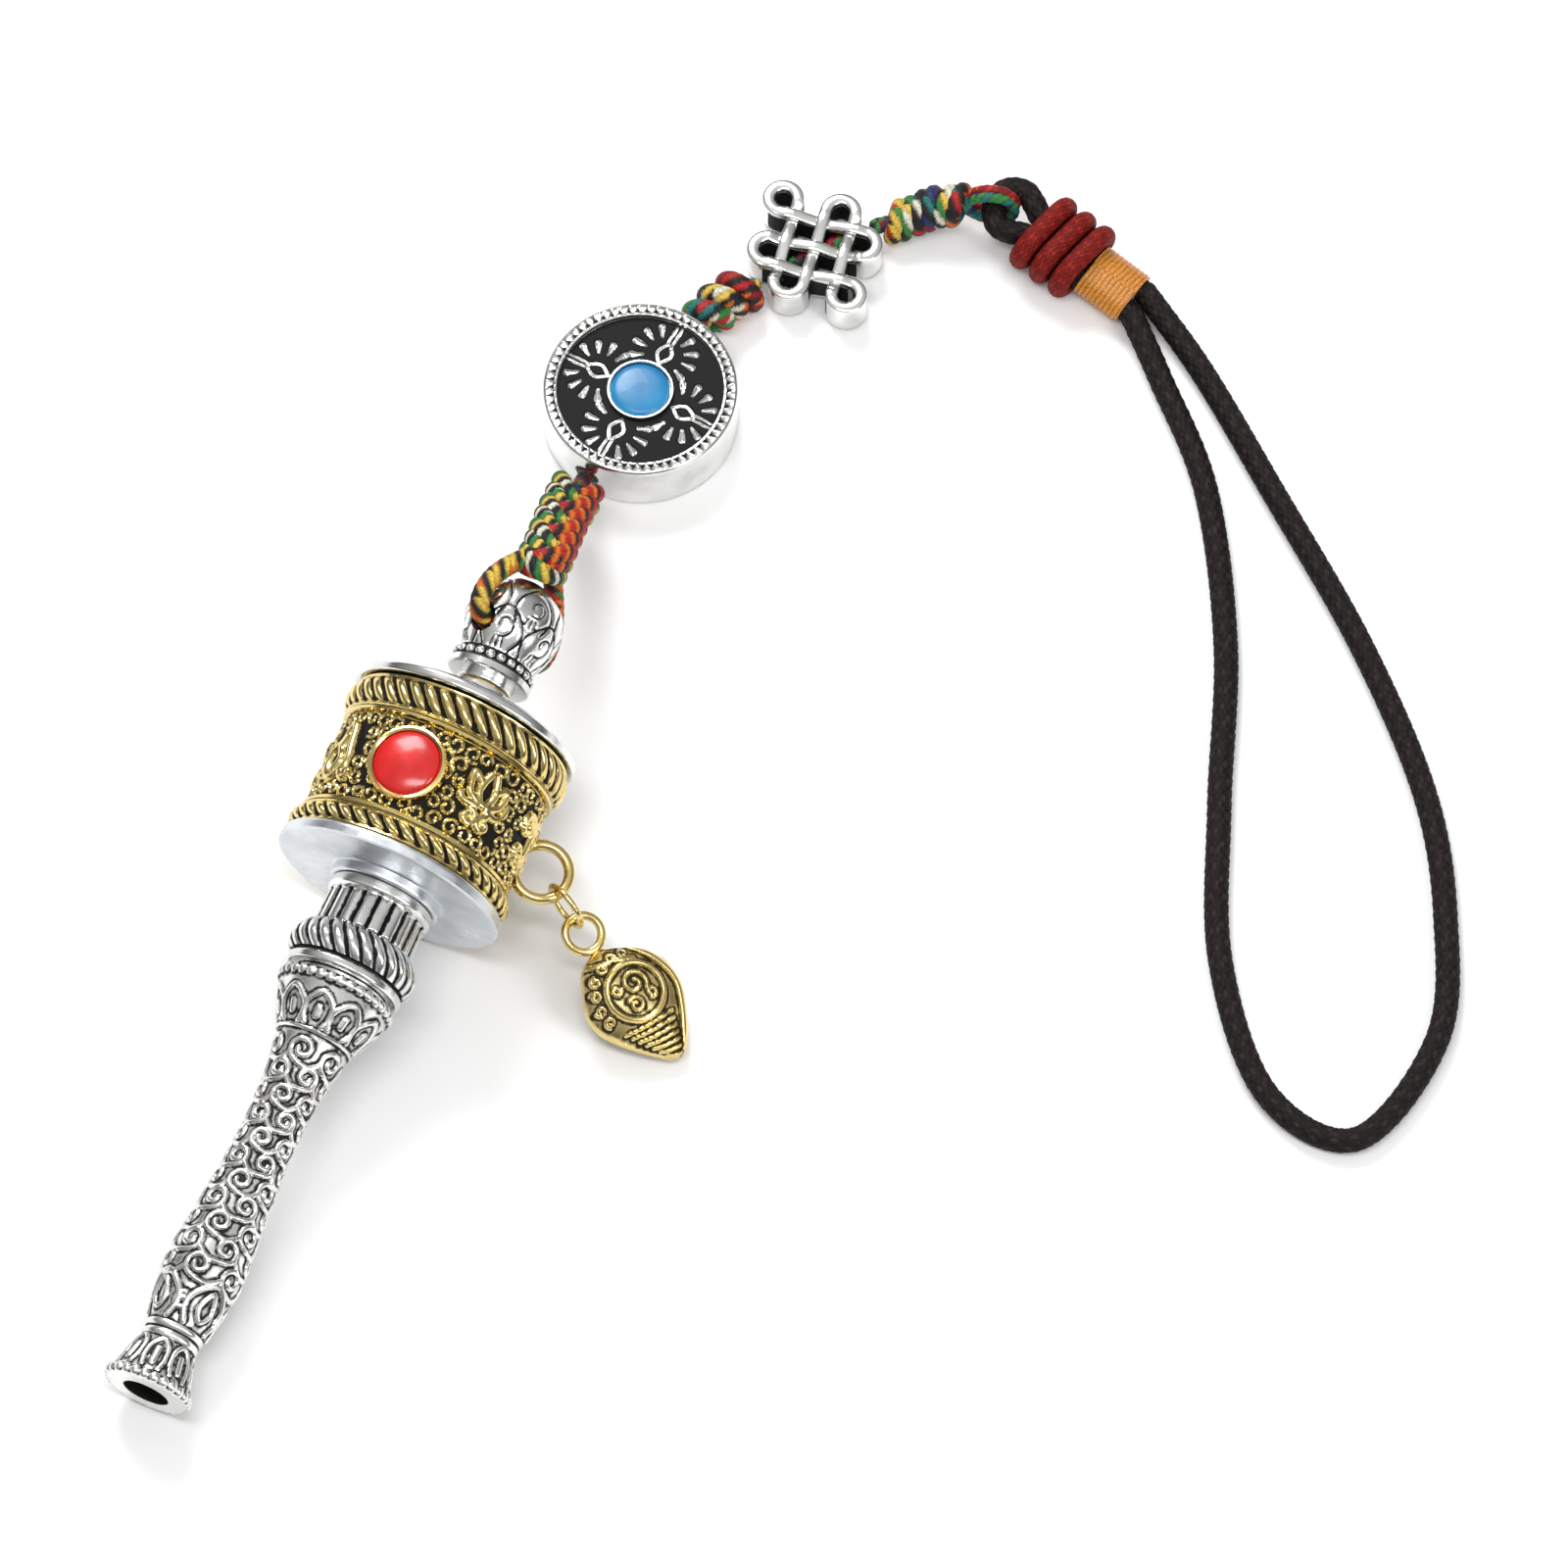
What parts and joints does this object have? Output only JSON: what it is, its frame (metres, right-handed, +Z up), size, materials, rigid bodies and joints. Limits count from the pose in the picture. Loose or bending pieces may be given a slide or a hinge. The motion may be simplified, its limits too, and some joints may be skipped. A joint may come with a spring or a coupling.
{
  "type": "mini prayer wheel",
  "caption": "Small hand prayer wheel: turning drum with a shell weight on a ring, and a knotted cord through a disc bead and an endless-knot bead to a braided wrist strap.",
  "frame": {"origin": "middle of the underside of the whole object's box as it lies on a table", "axes": "+Z up from the table; +Y along the wheel in plan, from the handle's foot to the finial; +X to the right, towards the shell charm and the wrist strap"},
  "size_m": [0.105, 0.1496, 0.0243],
  "materials": {
    "antique_silver": "antique silver plate over cast alloy, bright on the raised work and black in the recesses",
    "antique_gold": "antique gold plate over cast alloy, black in the recesses",
    "brass": "plain turned brass",
    "steel": "plain drawn steel",
    "red_enamel": "glossy domed red enamel",
    "turquoise_enamel": "glossy domed turquoise enamel",
    "scroll_paper": "rolled paper",
    "multicolour_cord": "knotted strands in several bright colours",
    "strap_cord": "braided black cord with grey flecks",
    "red_cord": "braided maroon cord",
    "gold_thread": "wound gold-orange thread"
  },
  "bodies": {
    "handle": {"handle_grip": "antique_silver", "neck_collar": "antique_silver", "axle_rod": "steel", "lower_washer": "brass", "upper_washer": "brass", "finial": "antique_silver"},
    "drum": {"drum_bottom_plate": "antique_silver", "drum_band": "antique_gold", "drum_top_cap": "antique_silver", "cabochon_front": "red_enamel", "cabochon_back": "red_enamel", "drum_bush": "brass", "prayer_scroll": "scroll_paper"},
    "weight_link": {"jump_ring": "antique_gold"},
    "charm": {"shell_charm": "antique_gold"},
    "lower_cord": {"lower_cord": "multicolour_cord"},
    "round_bead": {"round_bead": "antique_silver", "bead_cabochon_top": "turquoise_enamel", "bead_cabochon_back": "turquoise_enamel", "cord_in_round_bead": "multicolour_cord"},
    "middle_cord": {"middle_cord": "multicolour_cord"},
    "knot_bead": {"knot_bead": "antique_silver", "cord_in_knot_bead": "multicolour_cord"},
    "upper_cord": {"upper_cord": "multicolour_cord"},
    "strap_head": {"strap_link": "strap_cord", "red_knot": "red_cord", "gold_wrap": "gold_thread"},
    "strap_legs": {"strap_leg_near": "strap_cord", "strap_leg_far": "strap_cord"},
    "strap_bend": {"strap_bend": "strap_cord"}
  },
  "joints": [
    {"name": "drum_spin", "type": "hinge", "parent": "handle", "child": "drum", "pos_m": [-0.04144, -0.07425, 0.00422], "axis": [0, 0.992, 0.1265], "continuous": true},
    {"name": "ring_swing", "type": "hinge", "parent": "drum", "child": "weight_link", "pos_m": [-0.02723, -0.01409, 0.00898], "axis": [-0.46, -0.8877, -0.0189], "range_deg": [-25, 25]},
    {"name": "charm_swing", "type": "hinge", "parent": "weight_link", "child": "charm", "pos_m": [-0.02475, -0.01533, 0.00677], "axis": [0.5456, -0.2994, 0.7828], "range_deg": [-25, 25]},
    {"name": "cord_swing", "type": "hinge", "parent": "handle", "child": "lower_cord", "pos_m": [-0.04144, 0.00561, 0.0144], "axis": [-0.5, -0.1096, 0.8591], "range_deg": [-35, 35]},
    {"name": "bead_pitch", "type": "hinge", "parent": "lower_cord", "child": "round_bead", "pos_m": [-0.04452, 0.02952, 0.003], "axis": [0.9877, -0.1564, 0], "range_deg": [-45, 10]},
    {"name": "middle_yaw", "type": "hinge", "parent": "round_bead", "child": "middle_cord", "pos_m": [-0.04156, 0.04819, 0.003], "axis": [0, 0, -1], "range_deg": [-25, 25]},
    {"name": "knot_pitch", "type": "hinge", "parent": "middle_cord", "child": "knot_bead", "pos_m": [-0.0383, 0.05558, 0.00215], "axis": [-0.809, 0.5878, 0], "range_deg": [-20, 20]},
    {"name": "upper_yaw", "type": "hinge", "parent": "knot_bead", "child": "upper_cord", "pos_m": [-0.03137, 0.06513, 0.00215], "axis": [0, 0, 1], "range_deg": [-25, 25]},
    {"name": "link_yaw", "type": "hinge", "parent": "upper_cord", "child": "strap_head", "pos_m": [-0.0193, 0.07158, 0.00495], "axis": [0, 0, -1], "range_deg": [-15, 15]},
    {"name": "strap_pitch", "type": "hinge", "parent": "strap_head", "child": "strap_legs", "pos_m": [-0.00505, 0.06823, 0.00195], "axis": [0.2079, 0.9781, 0], "range_deg": [-50, 50]},
    {"name": "strap_fold", "type": "hinge", "parent": "strap_legs", "child": "strap_bend", "pos_m": [0.03161, 0.02765, 0.0012], "axis": [-0.8826, -0.47, 0], "range_deg": [-60, 60]}
  ]
}
